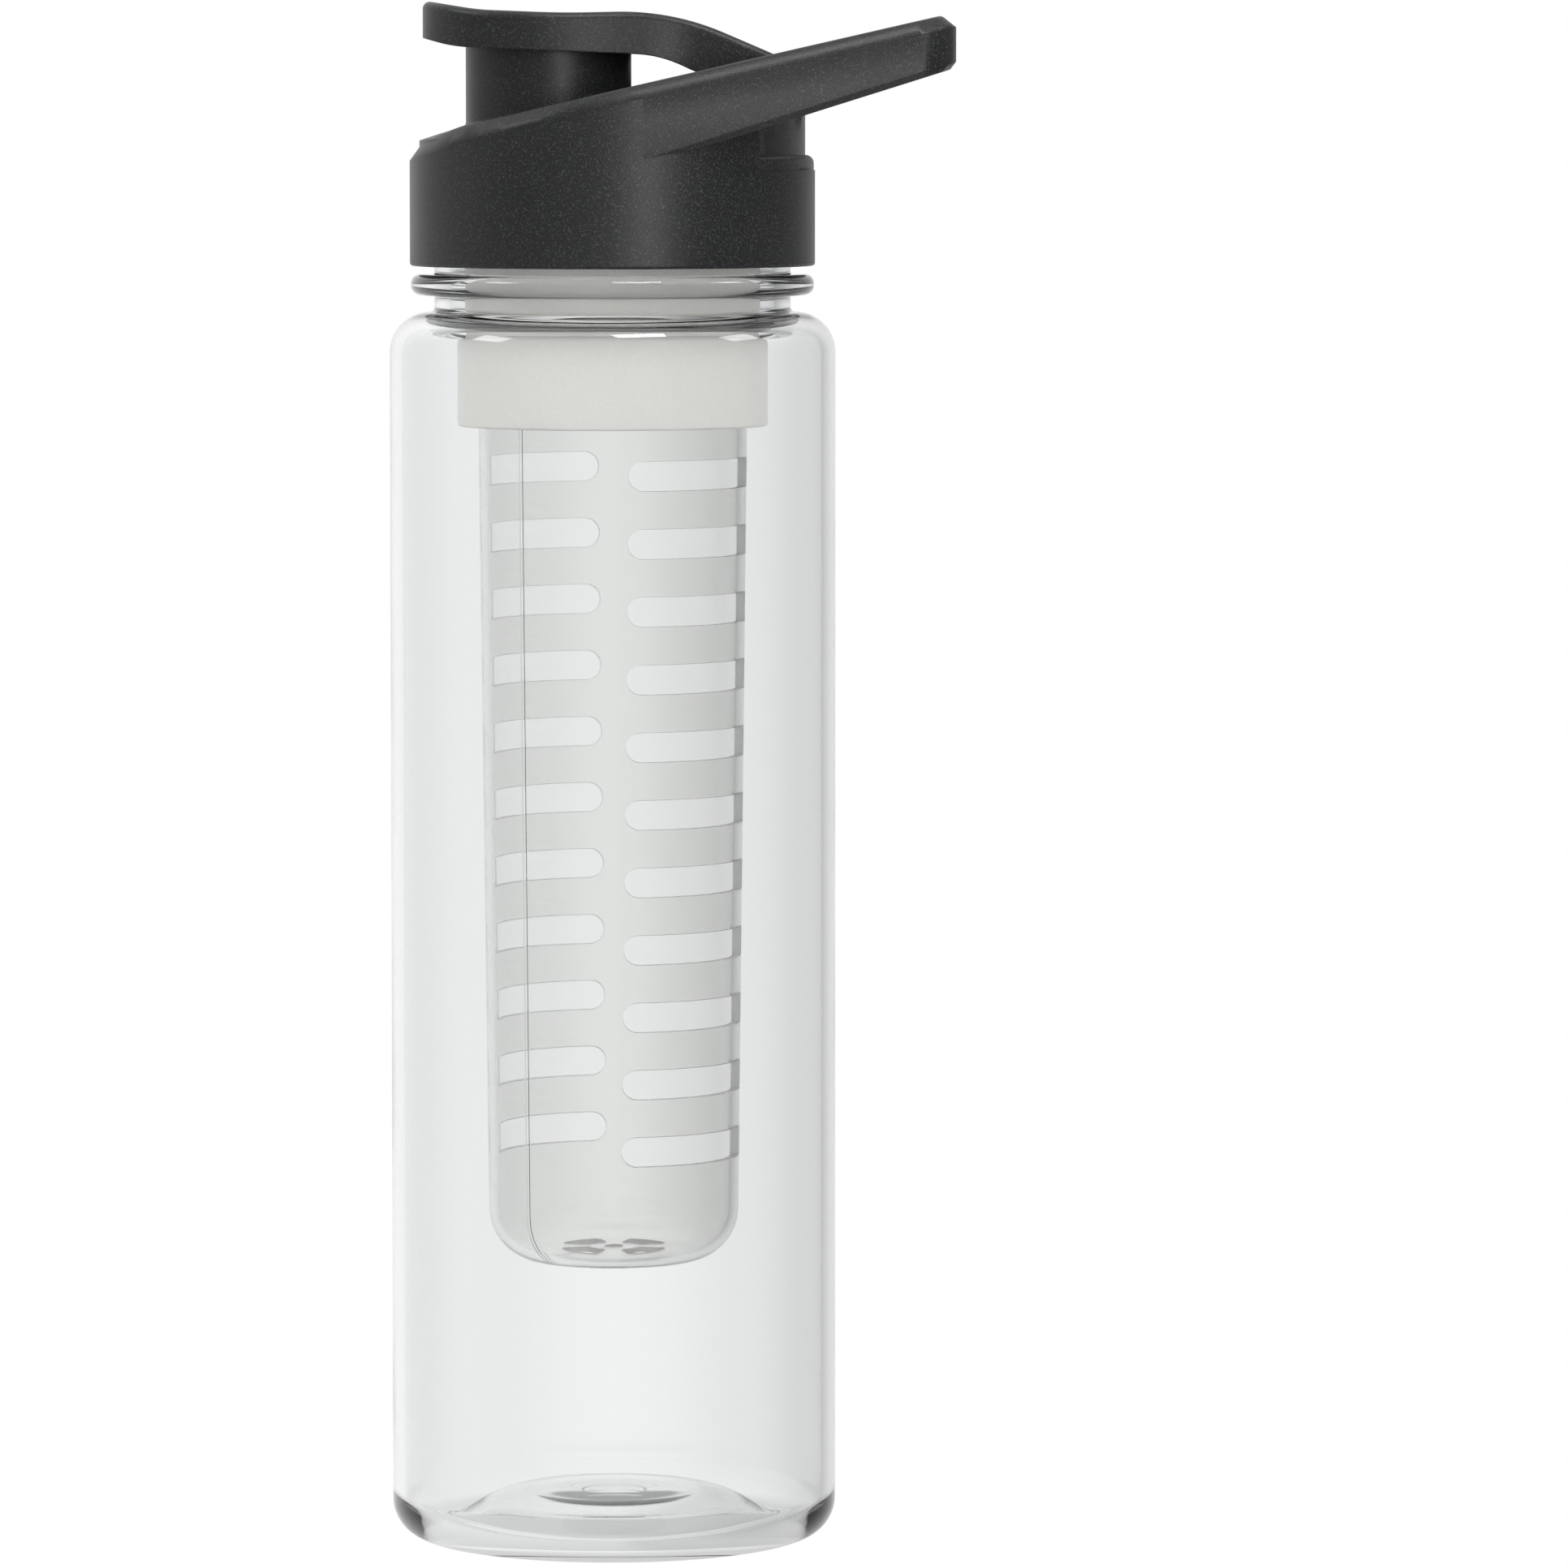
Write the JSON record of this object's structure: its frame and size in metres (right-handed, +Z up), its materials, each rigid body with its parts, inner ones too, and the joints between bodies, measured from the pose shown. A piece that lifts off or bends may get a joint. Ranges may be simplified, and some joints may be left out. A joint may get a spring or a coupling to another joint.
{
  "type": "fruit infuser water bottle",
  "caption": "Clear water bottle with a slotted fruit infuser tube hung in its neck, a black screw cap with a carry loop, and a flip lid over the spout.",
  "frame": {"origin": "on the bottle's axis, at the plane it stands on", "axes": "+Z up along the bottle's axis, +X towards the carry loop"},
  "size_m": [0.0949, 0.075, 0.2593],
  "materials": {
    "clear_copolyester": "gloss",
    "clear_styrene": "gloss",
    "white_polypropylene": "satin",
    "black_polypropylene": "matte",
    "clear_silicone": "matte",
    "stainless_steel": "satin"
  },
  "bodies": {
    "bottle": {"bottle_body": "clear_copolyester", "collar_gasket": "clear_silicone", "infuser_collar": "white_polypropylene", "infuser_tube": "clear_styrene"},
    "washer": {"cap_gasket": "clear_silicone"},
    "cap": {"screw_cap": "black_polypropylene", "hinge_pin": "stainless_steel"},
    "lid": {"flip_lid": "black_polypropylene"}
  },
  "joints": [
    {"name": "cap_lift", "type": "slide", "parent": "bottle", "child": "washer", "axis": [0, 0, 1], "range_m": [0, 0.0088]},
    {"name": "cap_turn", "type": "hinge", "parent": "washer", "child": "cap", "pos_m": [0, 0, 0.2], "axis": [0, 0, 1], "range_deg": [0, 630]},
    {"name": "lid_hinge", "type": "hinge", "parent": "cap", "child": "lid", "pos_m": [0.0295, 0, 0.2468], "axis": [0, 1, 0], "range_deg": [0, 115]}
  ],
  "couplings": [
    {"joint": "cap_lift", "follows": "cap_turn", "m_per_rad": 0.00079577}
  ]
}
